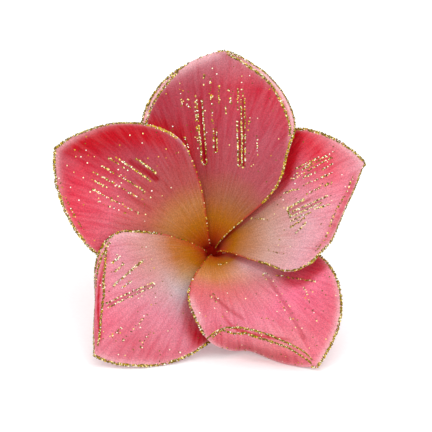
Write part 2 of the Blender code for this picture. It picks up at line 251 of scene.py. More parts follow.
PETALS = (
    Petal(
        "top", 3.0, 50.3, Side(62, 2.85, 0.86, -0.1), Side(50, 3.5, 0.82), 45, 2.0, 0.6, 11,
        tuck_shade=(5.5, 0.9), dark=0.35,
        creases=(
            Crease((-6.2, 39.0), (-3.8, 23.5), 0.45, 0.62, 6.0),
            Crease((-1.0, 32.0), (-0.5, 26.5), 0.35, 0.35, 5.0),
            Crease((6.2, 34.0), (7.8, 23.2), 0.4, 0.5, 6.5),
            Crease((6.8, 39.5), (9.0, 22.6), 0.35, 0.4, 5.0),
            Dots((-7.4, 40.0), (-6.0, 26.5), 2.5),
            Dots((-2.4, 40.0), (-1.8, 32.5), 1.9),
            Dots((-11.5, 39.0), (-11.2, 36.5), 2.7),
            Dots((-9.5, 39.0), (-9.8, 36.5), 3.2),
            Dots((-5.0, 45.5), (-5.0, 42.5), 3.4),
            Dots((-3.2, 44.5), (-2.6, 38.0), 2.7),
            Dots((-0.5, 43.5), (-0.2, 38.0), 2.7),
            Dots((2.0, 38.0), (2.0, 35.0), 2.3),
            Dots((2.5, 42.0), (3.5, 38.0), 3.8),
            Dots((5.2, 42.0), (5.5, 36.5), 3.8),
            Dots((6.5, 42.0), (6.8, 40.0), 3.4),
            Dots((9.5, 34.5), (9.5, 31.0), 2.7),
            Dots((12.2, 30.0), (13.5, 22.5), 1.6),
            Dots((-10.0, 29.0), (-8.5, 25.0), 3.2),
        ),
        pales_and_highlights=(
            Patch(-0.26, 0.11, 0.8, 0.7, 0.9), Patch(0.22, 0.12, 0.9, 0.9, 0.95),
            Patch(-0.1, 0.08, 0.1, 1.7, 0.8),
        ),
        trims=(
            Trim(((-0.37, 0.1), (-0.13, 0.1)), 0.5, 14.4),
            Trim(((-0.33, 1.3), (-0.24, 1.4), (-0.2, 1.3), (-0.16, 0.6)), 0.5, 10.8, 0.6),
            Trim(((-0.13, 0.2), (-0.04, 0.2)), 0.5, 1.6),
            Trim(((-0.04, 0.1), (0.34, 0.15)), 0.55, 15.6),
            Trim(
                ((0.04, 0.9), (0.12, 1.5), (0.19, 1.8), (0.23, 2.3), (0.27, 2.2), (0.33, 1.2)), 0.55, 14.4,
                0.6,
            ),
            Trim(((0.33, 0.5), (0.4, 0.3), (0.53, 0.2)), 0.65, 13.2, 0.3),
            Trim(((0.61, 0.1), (0.85, 0.1)), 0.25, 8.0, 0.3),
        ),
    ),
    Petal(
        "upper_right", 68.4, 44.6, Side(62.5, 3.2, 1.63, 0.22), Side(54, 3.5, 0.78, 0.06), 75, 1.5, 1.0, 22,
        tuck_shade=(1.9, 1.0), glow=0.15, dark=0.5,
        creases=(
            Crease((2.4, 30.0), (2.6, 24.4), 0.15, 0.45),
            Crease((4.6, 32.0), (4.3, 24.0), 0.12, 0.45),
            Dots((2.0, 18.5), (-2.5, 14.0), 2.0),
            Dots((1.6, 29.0), (1.8, 24.3), 12.5),
            Dots((4.0, 34.5), (3.5, 25.0), 9.6),
            Dots((5.3, 32.5), (5.1, 23.8), 10.8),
            Dots((5.0, 24.0), (1.8, 24.2), 10.4),
            Dots((7.0, 34.0), (6.2, 30.0), 9.1),
            Dots((6.8, 29.0), (6.5, 23.5), 6.6),
            Dots((7.5, 27.5), (8.5, 22.5), 5.9),
            Dots((9.0, 27.0), (11.0, 23.0), 4.9),
            Dots((-8.5, 34.0), (-8.5, 30.0), 7.0),
            Dots((-8.5, 36.5), (-6.5, 28.0), 5.0),
            Dots((-7.8, 40.5), (-7.0, 31.0), 4.0),
            Dots((-4.5, 39.0), (-4.2, 36.0), 6.0),
            Dots((-4.5, 34.5), (-4.8, 30.5), 6.0),
            Dots((-1.8, 38.0), (-2.5, 30.0), 4.0),
            Dots((0.8, 37.0), (0.6, 29.5), 4.0),
            Dots((-6.4, 39.5), (-5.8, 28.0), 4.5),
            Dots((-2.2, 29.0), (-3.5, 25.0), 7.0),
        ),
        blushes_and_shade=(
            Patch(0.22, 0.12, 1.5, 1.2, 0.5), Patch(-0.3, 0.13, 2.0, 6.0, 0.4),
            Patch(0.8, 0.1, 0.8, 1.3, 0.4),
        ),
        pales_and_highlights=(Patch(-0.02, 0.14, 0.3, 1.1, 0.6),),
        trims=(
            Trim(((-0.3, 0.15), (-0.1, 0.15)), 0.7, 18.0),
            Trim(((-0.1, 0.1), (0.36, 0.1)), 0.55, 15.6),
            Trim(((0.1, 1.7), (0.19, 2.4), (0.26, 3.0), (0.34, 1.2)), 0.5, 3.0),
            Trim(((0.34, 0.2), (0.52, 0.2)), 0.55, 11.4),
            Trim(((0.52, 0.2), (0.85, 0.2)), 0.4, 1.6, 0.3),
        ),
    ),
    Petal(
        "lower_right", 143.7, 46.7, Side(60.5, 3.6, 1.3, -0.08), Side(45.5, 4.2, 1.0, 0.06), 92, 1.8, 4.3, 33,
        lift=-0.3, bend=2.0, tuck_shade=(3.4, 0.8), glow=0.6, dark=0.5,
        creases=(
            Crease((9.2, 27.5), (12.2, 18.5), 0.13, 0.6),
            Crease((-1.5, 40.5), (-5.0, 21.5), 0.1, 0.6, 0.5),
            Crease((12.0, 20.0), (12.5, 17.5), 0.05, 0.5, 3.0),
            Crease((-5.0, 22.5), (-5.3, 20.0), 0.05, 0.6, 2.5),
            Dots((3.5, 9.0), (-2.0, 9.5), 1.6),
            Dots((-7.0, 39.0), (-11.0, 28.5), 1.3),
        ),
        blushes_and_shade=(Patch(0.23, 0.13, 7.8, 0.5, 0.85), Patch(0.22, 0.14, 2.5, 3.8, 0.55)),
        pales_and_highlights=(Patch(-0.14, 0.2, 0.3, 1.1, 0.7), Patch(0.42, 0.05, 1.0, 1.3, 0.55)),
        trims=(
            Trim(((-0.4, 0.1), (0.07, 0.1)), 0.55, 15.6),
            Trim(
                (
                    (0.34, 0.2), (0.33, 3.6), (0.32, 6.5), (0.29, 8.5), (0.24, 9.0), (0.18, 8.4), (0.12, 6.5),
                    (0.06, 4.3), (0.03, 2.1),
                ),
                0.55, 14.0,
            ),
            Trim(
                ((0.33, 1.5), (0.32, 5.0), (0.26, 7.6), (0.19, 6.9), (0.13, 5.3), (0.1, 3.4), (0.06, 1.1)),
                0.55, 13.2,
            ),
            Trim(((0.35, 0.2), (0.5, 0.2)), 0.55, 12.0),
            Trim(((0.5, 0.2), (0.85, 0.2)), 0.4, 1.5),
            Trim(((0.32, 1.2), (0.08, 1.0)), 2.4, 0.9),
            Trim(((-0.46, 10.4), (-0.37, 10.8), (-0.32, 7.9), (-0.3, 5.6)), 0.5, 5.0),
        ),
    ),
    Petal(
        "lower_left", 219.8, 46.4, Side(52, 3.25, 1.44, 0.15), Side(43.5, 3.5, 0.9, 0.14), 80, 1.5, 1.2, 44,
        lift=-1.0, tuck_shade=(3.3, 0.9), dark=0.55,
        creases=(
            Crease((6.5, 37.0), (2.2, 24.3), 0.1, 0.4, 4.8),
            Dots((14.2, 28.0), (14.2, 24.8), 11.2),
            Dots((12.0, 29.0), (12.0, 25.8), 7.5),
            Dots((9.3, 32.0), (9.5, 21.2), 9.1),
            Dots((7.2, 31.0), (7.0, 27.5), 5.5),
            Dots((-0.2, 42.0), (-0.5, 37.0), 2.5),
            Dots((-3.0, 41.5), (-2.8, 31.0), 1.8),
            Dots((-7.8, 40.0), (-6.8, 34.0), 1.8),
        ),
        blushes_and_shade=(
            Patch(0.21, 0.13, 2.6, 0.5, 0.95), Patch(0.2, 0.14, 0.8, 1.2, 0.35),
            Patch(0.72, 0.13, 0.8, 1.6, 0.35),
        ),
        pales_and_highlights=(Patch(-0.12, 0.14, 0.4, 1.1, 0.5), Patch(0.42, 0.05, 0.8, 1.3, 0.6)),
        trims=(
            Trim(((-0.42, 0.1), (-0.06, 0.1)), 0.55, 15.6),
            Trim(((-0.06, 0.1), (0.36, 0.1)), 0.55, 15.6),
            Trim(((0.08, 1.5), (0.14, 2.6), (0.2, 3.6), (0.25, 4.0), (0.32, 2.9), (0.35, 1.6)), 0.55, 13.2),
            Trim(((0.37, 1.2), (0.35, 1.3), (0.27, 1.3)), 0.5, 10.8),
            Trim(((0.35, 0.2), (0.53, 0.2)), 0.55, 12.0),
            Trim(((0.53, 0.2), (0.85, 0.2)), 0.4, 1.6),
        ),
    ),
    Petal(
        "upper_left", 295.5, 47.3, Side(55.5, 2.8, 1.0, 0.06), Side(56.5, 2.4, 0.97, 0.1), 30, 2.0, 0.4, 55,
        tuck_shade=(1.0, 0.35), dark=0.3,
        creases=(
            Crease((7.6, 31.0), (7.5, 23.5), 0.25, 0.8),
            Crease((-1.5, 29.5), (-1.8, 21.5), 0.08, 1.1),
            Crease((3.5, 29.0), (3.6, 23.0), 0.08, 0.9),
            Dots((9.2, 30.4), (8.8, 24.0), 10.4),
            Dots((6.3, 35.0), (6.0, 24.5), 7.5),
            Dots((4.8, 36.5), (4.8, 30.5), 4.5),
            Dots((1.8, 37.0), (2.2, 24.5), 5.0),
            Dots((-0.8, 38.5), (-0.6, 25.0), 4.0),
            Dots((-2.8, 37.5), (-2.8, 33.0), 4.8),
            Dots((-5.2, 36.0), (-4.4, 22.5), 4.0),
            Dots((-7.5, 33.0), (-6.5, 25.0), 1.6),
        ),
        blushes_and_shade=(Patch(0.2, 0.19, 3.4, 2.7, 1.0),),
        pales_and_highlights=(Patch(0.0, 0.2, 0.3, 1.3, 0.6), Patch(0.2, 0.1, 0.2, 0.7, 0.5)),
        trims=(
            Trim(((-0.4, 0.1), (0.3, 0.1)), 0.65, 18.0),
            Trim(((-0.3, 1.9), (-0.2, 1.5), (-0.12, 0.9)), 0.3, 1.6),
            Trim(((0.3, 0.3), (0.38, 0.3)), 0.65, 10.8, 0.2),
            Trim(((0.38, 0.2), (0.5, 0.2)), 0.3, 1.6, 0.2),
            Trim(((0.5, 0.1), (0.85, 0.1)), 0.2, 0.8, 0.1),
        ),
    ),
)
PREVIOUS = dict(zip((petal.key for petal in PETALS), (PETALS[-1],) + PETALS[:-1]))


def linear_channel(value):
    return value / 12.92 if value <= 0.04045 else ((value + 0.055) / 1.055) ** 2.4


def linear_colour(hex_colour):
    """The linear RGBA of an sRGB colour such as #ffcc00."""
    return (*(linear_channel(int(hex_colour[i : i + 2], 16) / 255) for i in (1, 3, 5)), 1.0)


def colour(name, description, hex_colour):
    """A colour property that a user can change."""
    return FloatVectorProperty(
        name=name, description=description, subtype="COLOR", size=4, min=0.0, max=1.0,
        default=linear_colour(hex_colour),
    )


def power(name, description, default):
    """A light's power, in watts."""
    return FloatProperty(name=name, description=description, default=default, min=0.0, unit="POWER")


def millimetres(name, description, default):
    """A length property. Blender holds it in metres."""
    return FloatProperty(
        name=name, description=description, default=default * MM, min=0.0, subtype="DISTANCE", unit="LENGTH",
        precision=5,
    )


# The zones of a petal's colour from its foot out: where each lies, as a share of the length, and what it is.
ZONES = {
    "neck": (0.28, "Just outside the throat"),
    "heart": (0.4, "A third of the way out"),
    "middle": (0.6, "The middle"),
    "outer": (0.82, "Near the tip"),
}
TIP_ZONE = 0.98


def petal_colours(key, under, over, tip):
    """A property group with one petal's tones, zone by zone, on its under and its over half, and at its tip."""
    tones = {}
    for half, half_tones in (("under", under), ("over", over)):
        for (zone, (_, place)), tone in zip(ZONES.items(), half_tones):
            tones[f"{half}_{zone}"] = colour(f"{half.title()} {zone}", f"{place}, on the {half} half", tone)
    tones["tip"] = colour("Tip", "The last tenth of the petal", tip)
    details = {"__doc__": f"Colours of the {key.replace('_', ' ')} petal", "__annotations__": tones}
    return type(f"{key.title().replace('_', '')}Colours", (bpy.types.PropertyGroup,), details)


# The top and upper left petals are darker and redder than the others: partly their own colour and partly
# painted shade, for petals turned away from the light.
PETAL_COLOURS = {
    "top": petal_colours(
        "top", ("#a25038", "#a03438", "#a52e3a", "#a53c49"),
        ("#9f5f40", "#ab5056", "#b04a58", "#be3746"), "#b8727c",
    ),
    "upper_right": petal_colours(
        "upper_right", ("#9f6224", "#b47c64", "#cf697c", "#d63a49"),
        ("#b57c5b", "#c4988c", "#d59ca4", "#e07f90"), "#d48a96",
    ),
    "lower_right": petal_colours(
        "lower_right", ("#d8a4a2", "#c38082", "#ea728e", "#d45f72"),
        ("#c4804e", "#d2696a", "#d97789", "#df8a90"), "#dc7080",
    ),
    "lower_left": petal_colours(
        "lower_left", ("#b89268", "#c4b0b4", "#d47c8d", "#ca6170"),
        ("#b26c3a", "#c48c80", "#d48895", "#df7085"), "#d17484",
    ),
    "upper_left": petal_colours(
        "upper_left", ("#b47444", "#b96050", "#d56070", "#d23a4d"),
        ("#b27241", "#a84b48", "#a9424e", "#ac1828"), "#ae4955",
    ),
}


class SharedColours(bpy.types.PropertyGroup):
    """Colours that every petal and the tail behind them share."""

    throat: colour("Throat", "The dark mouth of the tube", "#8a1602")
    gullet: colour("Gullet", "The first red ring round the mouth", "#a83802")
    amber: colour("Amber", "The amber ring of the throat", "#ac5000")
    honey: colour("Honey", "The outer edge of the amber ring", "#ae6608")
    # Deep red and crease red are painted shade, beside a neighbour's covering edge and at the bottom of a
    # crease; deep red is also the colour of the vein streaks. Pale margin also paints highlights and, near the
    # foot, light.
    deep: colour("Deep red", "Where a petal comes out from beneath its neighbour", "#b40a1a")
    crease: colour("Crease red", "The bottom of a pressed crease", "#9c0418")
    pale: colour("Pale margin", "The free margin", "#e8b4b8")
    back: colour("Back", "The back of a petal", "#d0909a")
    back_stripe: colour("Back stripe", "The redder half of a petal's back", "#b84a5c")
    back_foot: colour("Back foot", "The back of a petal near the tube", "#d6b07c")
    tube: colour("Tube", "The tube at its mouth", "#d8b486")
    tube_foot: colour("Tube foot", "The tube at its foot", "#c8927c")
    calyx: colour("Calyx", "The green calyx", "#76883c")
    stalk: colour("Stalk", "The green stalk", "#7d8f47")
    pollen: colour("Pollen", "The anthers", "#e2c660")
    gold: colour("Gold", "The middle tone of the glitter", "#b08c00")
    floor: colour("Floor", "The pale surface that the flower lies on", "#fbfafa")


class FlowerSizes(bpy.types.PropertyGroup):
    """Sizes of the finished pieces."""

    petal_thickness: millimetres("Petal thickness", "Thickness in the middle of a petal", 0.9)
    margin_thickness: millimetres("Margin thickness", "Thickness at a petal's margin", 0.3)
    petal_cells: IntProperty(
        name="Petal cells", description="Cells across a petal's sheet", default=150, min=20, max=200,
    )
    wave: millimetres("Wave", "Height of the soft waves across a petal", 0.22)
    flake: millimetres("Flake", "Width of a glitter flake", 0.37)
    flake_thickness: millimetres("Flake thickness", "Thickness of a glitter flake", 0.05)
    specks: IntProperty(
        name="Specks", description="Loose glitter specks on each petal", default=55, min=0, max=1000,
    )


class StageSizes(bpy.types.PropertyGroup):
    """The stage: where the camera stands and how strong the lights are."""

    distance: millimetres("Camera distance", "From the flower's throat to the camera", 450.0)
    elevation: FloatProperty(
        name="Elevation", description="Angle of the camera above level", default=math.radians(21.8),
        subtype="ANGLE",
    )
    lens: FloatProperty(
        name="Lens", description="Focal length", default=150.0, min=10.0, subtype="DISTANCE_CAMERA",
    )
    aim_right: millimetres("Aim right", "How far right of the throat the camera aims", 1.0)
    aim_up: millimetres("Aim up", "How far above the throat the camera aims", 9.0)
    key: power("Key light", "Power of the large soft light", 4.3)
    fill: power("Fill light", "Power of the weak light on the other side", 1.0)
    back: power("Back light", "Power of the light behind the flower", 1.5)
    sky: FloatProperty(
        name="Sky", description="Strength of the even white light from all round", default=0.95, min=0.0,
    )


def feed(tree, node, links):
    """Sets each input of a node that links names to its value, or joins it to the socket that feeds it."""
    for key, value in links.items():
        if isinstance(value, bpy.types.NodeSocket):
            tree.links.new(value, node.inputs[key])
        else:
            node.inputs[key].default_value = value


def add_node(tree, kind, links=None, stops=(), **settings):
    """Adds a shader node. links feeds its inputs, stops are the places and colours of a colour ramp, and
    settings are the node's own attributes."""
    node = tree.nodes.new(kind)
    for name, value in settings.items():
        setattr(node, name, value)
    feed(tree, node, links or {})
    for i, (place, rgba) in enumerate(stops):
        elements = node.color_ramp.elements
        element = elements[i] if i < len(elements) else elements.new(place)
        element.position, element.color = place, rgba
    return node


def new_material(name):
    """An empty material with its tree and its shader."""
    material = bpy.data.materials.new(name)
    material.use_nodes = True
    return material, material.node_tree, material.node_tree.nodes["Principled BSDF"]


# ---------------------------------------------------------------------------------------------------------
# The flower's geometry, on whole arrays of points at a time.
# ---------------------------------------------------------------------------------------------------------


def rise(value, start, width):
    """0 below start, 1 from start + width on, and straight between. A minus width falls instead."""
    return np.clip((value - start) / width, 0, 1)


def hump(distance, width, sharpness=2):
    """1 at a distance of 0, fading out over width."""
    return np.exp(-((distance / width) ** sharpness))


def side_angle(side, along):
    """The half-angle, in radians, that a petal spans on one side, at a share of its length from 0 to 1."""
    narrowing = (1 - FOOT_SPREAD_SHARE) * np.exp(-along / FOOT_SPREAD_LENGTH)
    corner = 1 + side.corner * hump(along - CORNER_PLACE, CORNER_WIDTH)
    return np.radians(side.spread) * (1 - along**side.carry) ** side.closing * (1 - narrowing) * corner


def margin_point(petal, turn):
    """The petal's outline laid flat, with the flower's axis at (0, 0) and the tip on +Y."""
    way = np.clip(np.abs(turn) / MARGIN_SHARE, 0, 1)
    foot_share = np.clip((np.abs(turn) - MARGIN_SHARE) / (1 - MARGIN_SHARE), 0, 1)
    along = np.clip(0.5 + 0.5 * np.cos(np.pi * way), 0, 1)
    angle = np.where(turn >= 0, side_angle(petal.over, along), -side_angle(petal.under, along))
    angle = angle * (1 - foot_share)
    reach = MOUTH_RADIUS + along * petal.length
    return reach * np.sin(angle), reach * np.cos(angle)


def margin_roll(petal, turn):
    """The angle, in radians, through which the margin is folded back, and the width of the flap beyond."""
    width = np.where(turn < ROLL_PLACE, ROLL_WIDTH, ROLL_FOOT_WIDTH)
    share = hump(turn - ROLL_PLACE, width)
    tip_roll = TIP_ROLL * hump(turn, TIP_ROLL_WIDTH)
    return np.radians(petal.roll * share + tip_roll), petal.flap * share


def rolled_place(petal, turn, inset):
    """Where a point at that turn and distance in from the margin lies on the flat petal, and how far the
    rolled margin has carried it behind the sheet."""
    edge_x, edge_y = margin_point(petal, turn)
    middle = MOUTH_RADIUS + petal.length / 2
    spoke_x, spoke_y = edge_x, edge_y - middle
    spoke = np.hypot(spoke_x, spoke_y)
    roll, flap = margin_roll(petal, turn)
    rolled = petal.roll_radius * roll + flap
    wrap = np.minimum(np.maximum(rolled - inset, 0) / petal.roll_radius, roll)
    past_fold = np.maximum(flap - inset, 0) * (inset < rolled)
    folded = spoke - rolled + petal.roll_radius * np.sin(wrap) + past_fold * np.cos(roll)
    reach = np.where(inset < rolled, folded, spoke - inset)
    behind = petal.roll_radius * (1 - np.cos(wrap)) + past_fold * np.sin(roll)
    return spoke_x / spoke * reach, middle + spoke_y / spoke * reach, behind


def margin_place(petal, x, y):
    """The turn and the inset of places on the petal laid flat."""
    middle = MOUTH_RADIUS + petal.length / 2
    turns = np.linspace(-1, 1, 721)
    edge_x, edge_y = margin_point(petal, turns)
    bearings, bearing = np.arctan2(edge_x, edge_y - middle), np.arctan2(x, y - middle)
    reach = np.interp(bearing, bearings, np.hypot(edge_x, edge_y - middle))
    return np.interp(bearing, bearings, turns), reach - np.hypot(x, y - middle)


def wall_slope(along, bearing):
    """The funnel wall's slope, in radians, at a distance from the mouth."""
    middle = (TOP_SLOPE + BOTTOM_SLOPE) / 2 + (TOP_SLOPE - BOTTOM_SLOPE) / 2 * np.cos(bearing)
    throat = (THROAT_SLOPE - middle) * np.exp(-along / THROAT_LENGTH)
    return np.radians(middle + throat - TIP_RECURVE * (along / MEAN_LENGTH) ** 3)


def segment_distance(x, y, start, end):
    """Distance from a segment on the flat petal, and the share of the way along it."""
    step_x, step_y = end[0] - start[0], end[1] - start[1]
    share = ((x - start[0]) * step_x + (y - start[1]) * step_y) / (step_x**2 + step_y**2)
    inside = np.clip(share, 0, 1)
    return np.hypot(x - start[0] - inside * step_x, y - start[1] - inside * step_y), inside


def crease_depth(petal, x, y):
    """How deep the pressed creases are, in millimetres, and how strongly they colour the petal, 0 to 1."""
    depth = np.zeros_like(x)
    crease_shade = np.zeros_like(x)
    for crease in petal.creases:
        if isinstance(crease, Dots):
            continue
        distance, share = segment_distance(x, y, crease.start, crease.end)
        fading = (1 - CREASE_FADING) + CREASE_FADING * share
        strength = min(1.0, crease.depth / FULL_SHADE_DEPTH)
        depth = np.maximum(depth, crease.depth * fading * hump(distance, crease.width))
        crease_shade = np.maximum(crease_shade, strength * fading * hump(distance, crease.width, 4))
    return depth, crease_shade


def relief(petal, x, y, wave):
    """Height of the front face above the plain funnel, in millimetres: soft waves along the veins, and the
    creases pressed into them."""
    reach = np.hypot(x, y)
    angle = np.arctan2(x, y)
    ramp = rise(reach, WAVE_START, WAVE_RISE)
    ramp = ramp * ramp * (3 - 2 * ramp)
    phase = petal.seed * 0.7
    fine_waves = np.sin(angle * FINE_WAVES + 2 * phase + reach * WAVE_TWIST)
    waves = np.sin(angle * COARSE_WAVES + phase) + FINE_WAVE_SHARE * fine_waves
    depth, _ = crease_depth(petal, x, y)
    return ramp * wave * waves - depth


def petal_surface(petal, x, y, behind, wave):
    """Points of the petal's front face about the flower's axis, in millimetres, one row each."""
    along = np.maximum(np.hypot(x, y) - MOUTH_RADIUS, 0)
    off_centre = np.arctan2(x, y)
    bearing = np.radians(petal.azimuth) + off_centre
    radius = np.full_like(along, MOUTH_RADIUS)
    height = np.zeros_like(along)
    step = along / FUNNEL_STEPS
    for i in range(FUNNEL_STEPS):
        slope = wall_slope((i + 0.5) * step, bearing)
        radius = radius + step * np.cos(slope)
        height = height + step * np.sin(slope)
    slope = wall_slope(along, bearing)
    outer_share = (along / MEAN_LENGTH) ** 2
    spread = 2 * math.sin(math.radians(NEIGHBOUR_ANGLE / 2))
    raised = (SPIRAL_GAP + SPIRAL_GAP_GROWTH * along) * np.sin(off_centre) / spread
    raised = raised + petal.lift * outer_share - behind + relief(petal, x, y, wave)
    bearing = bearing + np.radians(petal.bend) * outer_share
    inward = radius - raised * np.sin(slope)
    lifted = height + raised * np.cos(slope)
    return np.stack([inward * np.sin(bearing), inward * np.cos(bearing), lifted], axis=-1)


def cover_distance(petal, x, y):
    """Distance in millimetres past the edge of the neighbour that covers this petal: minus is beneath it."""
    cover = PREVIOUS[petal.key]
    reach = np.hypot(x, y)
    along = np.clip((reach - MOUTH_RADIUS) / cover.length, 0, 1)
    apart = math.radians((petal.azimuth - cover.azimuth) % 360)
    return (np.arctan2(x, y) - side_angle(cover.over, along) + apart) * reach


def flower_matrix():
    """Lays the flower's own frame in the packed frame, whose tube gives the mouth's place."""
    turned = Euler((math.radians(AXIS_TILT), math.radians(AXIS_ROLL), 0.0)).to_matrix()
    points = np.array([vert.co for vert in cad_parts["corolla_tube"].data.vertices]) @ np.array(turned)
    low, high = points.min(axis=0), points.max(axis=0)
    mouth = Vector(((low[0] + high[0]) / 2, (low[1] + high[1]) / 2, high[2] - TUBE_RIM * MM))
    return Matrix.Translation(turned @ mouth) @ turned.to_4x4()


def finish_piece(name, bm, node, slot, *materials):
    """Makes a bmesh in the flower's own frame, in metres, a finished piece that stands for its CAD node."""
    mesh = bpy.data.meshes.new(name)
    bm.to_mesh(mesh)
    bm.free()
    mesh.transform(flower_matrix())
    mesh.shade_smooth()
    return place_piece(name, mesh, node, slot, *materials)


def place_piece(name, mesh, node, slot, *materials):
    """Links a finished mesh, lets it ride on the flower and stand for its CAD node."""
    for material in materials:
        mesh.materials.append(material)
    piece = bpy.data.objects.new(name, mesh)
    bpy.context.scene.collection.objects.link(piece)
    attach(piece, "root")
    if node:
        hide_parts(node)
    return piece


def turned(profile, steps, closed=False):
    """A bmesh turned about the flower's axis from (radius, height) points in millimetres. They start and end on
    the axis, or are closed into a ring."""
    bm = bmesh.new()
    verts = [bm.verts.new((radius * MM, 0.0, height * MM)) for radius, height in profile]
    pairs = zip(verts[-1:] + verts, verts) if closed else zip(verts, verts[1:])
    edges = [bm.edges.new(pair) for pair in pairs]
    bmesh.ops.spin(
        bm, geom=verts + edges, cent=(0, 0, 0), axis=(0, 0, 1), angle=math.tau, steps=steps, use_merge=True,
    )
    bmesh.ops.remove_doubles(bm, verts=bm.verts, dist=0.001 * MM)
    bmesh.ops.recalc_face_normals(bm, faces=bm.faces)
    return bm


# ---------------------------------------------------------------------------------------------------------
# Petals.
# ---------------------------------------------------------------------------------------------------------


def write_attribute(mesh, name, kind, values):
    """Stores one value per point on the mesh, for its material to read."""
    field = "vector" if kind == "FLOAT_VECTOR" else "value"
    attribute = mesh.attributes.new(name, kind, "POINT")
    attribute.data.foreach_set(field, np.ascontiguousarray(values, dtype=np.float32).ravel())


def patches(items, turn, inset):
    """The strongest of some soft patches at each point, 0 to 1."""
    value = np.zeros_like(turn)
    for item in items:
        bump = hump(turn - item.turn, item.turn_width, 4) * hump(inset - item.inset, item.inset_width)
        value = np.maximum(value, item.strength * bump)
    return value


def petal_marks(petal, x, y, along, turn, inset):
    """How strongly each point shows the deep red, the crease stain and the pale tone, 0 to 1, one row each."""
    past_cover = np.maximum(cover_distance(petal, x, y), 0)
    outward = rise(along, TUCK_START, TUCK_RISE)
    width, strength = petal.tuck_shade
    # Painted shade cast by the neighbour's edge, widening towards the tip, and a thin line of it right along
    # that edge.
    tuck_shade = strength * outward * hump(past_cover, TUCK_LEAST_WIDTH + width * outward**2, 3)
    seam = SEAM_STRENGTH * hump(past_cover, SEAM_WIDTH) * rise(along, 0, 0.1)
    rim = RIM_STRENGTH * hump(inset, RIM_WIDTH) * rise(turn, RIM_START, 0.1)
    # The deep red mark: the painted shade, the dark line along the foot's rim, and the blush and shade patches.
    tuck_shade = np.maximum.reduce([tuck_shade, seam, rim, patches(petal.blushes_and_shade, turn, inset)])
    _, crease_shade = crease_depth(petal, x, y)
    free = FREE_STRENGTH * rise(along, FREE_START, 0.2) * hump(inset, FREE_WIDTH)
    near_foot = rise(along, 0.16, 0.12) * rise(along, 0.52, -0.15)
    # Painted light: paler near the foot beside the neighbour's edge, for the light that comes through that
    # edge.
    glow = petal.glow * near_foot * hump(past_cover, GLOW_WIDTH)
    pale = np.maximum.reduce([free, patches(petal.pales_and_highlights, turn, inset), glow])
    return np.clip(np.stack([tuck_shade, crease_shade, pale], axis=-1), 0, 1)


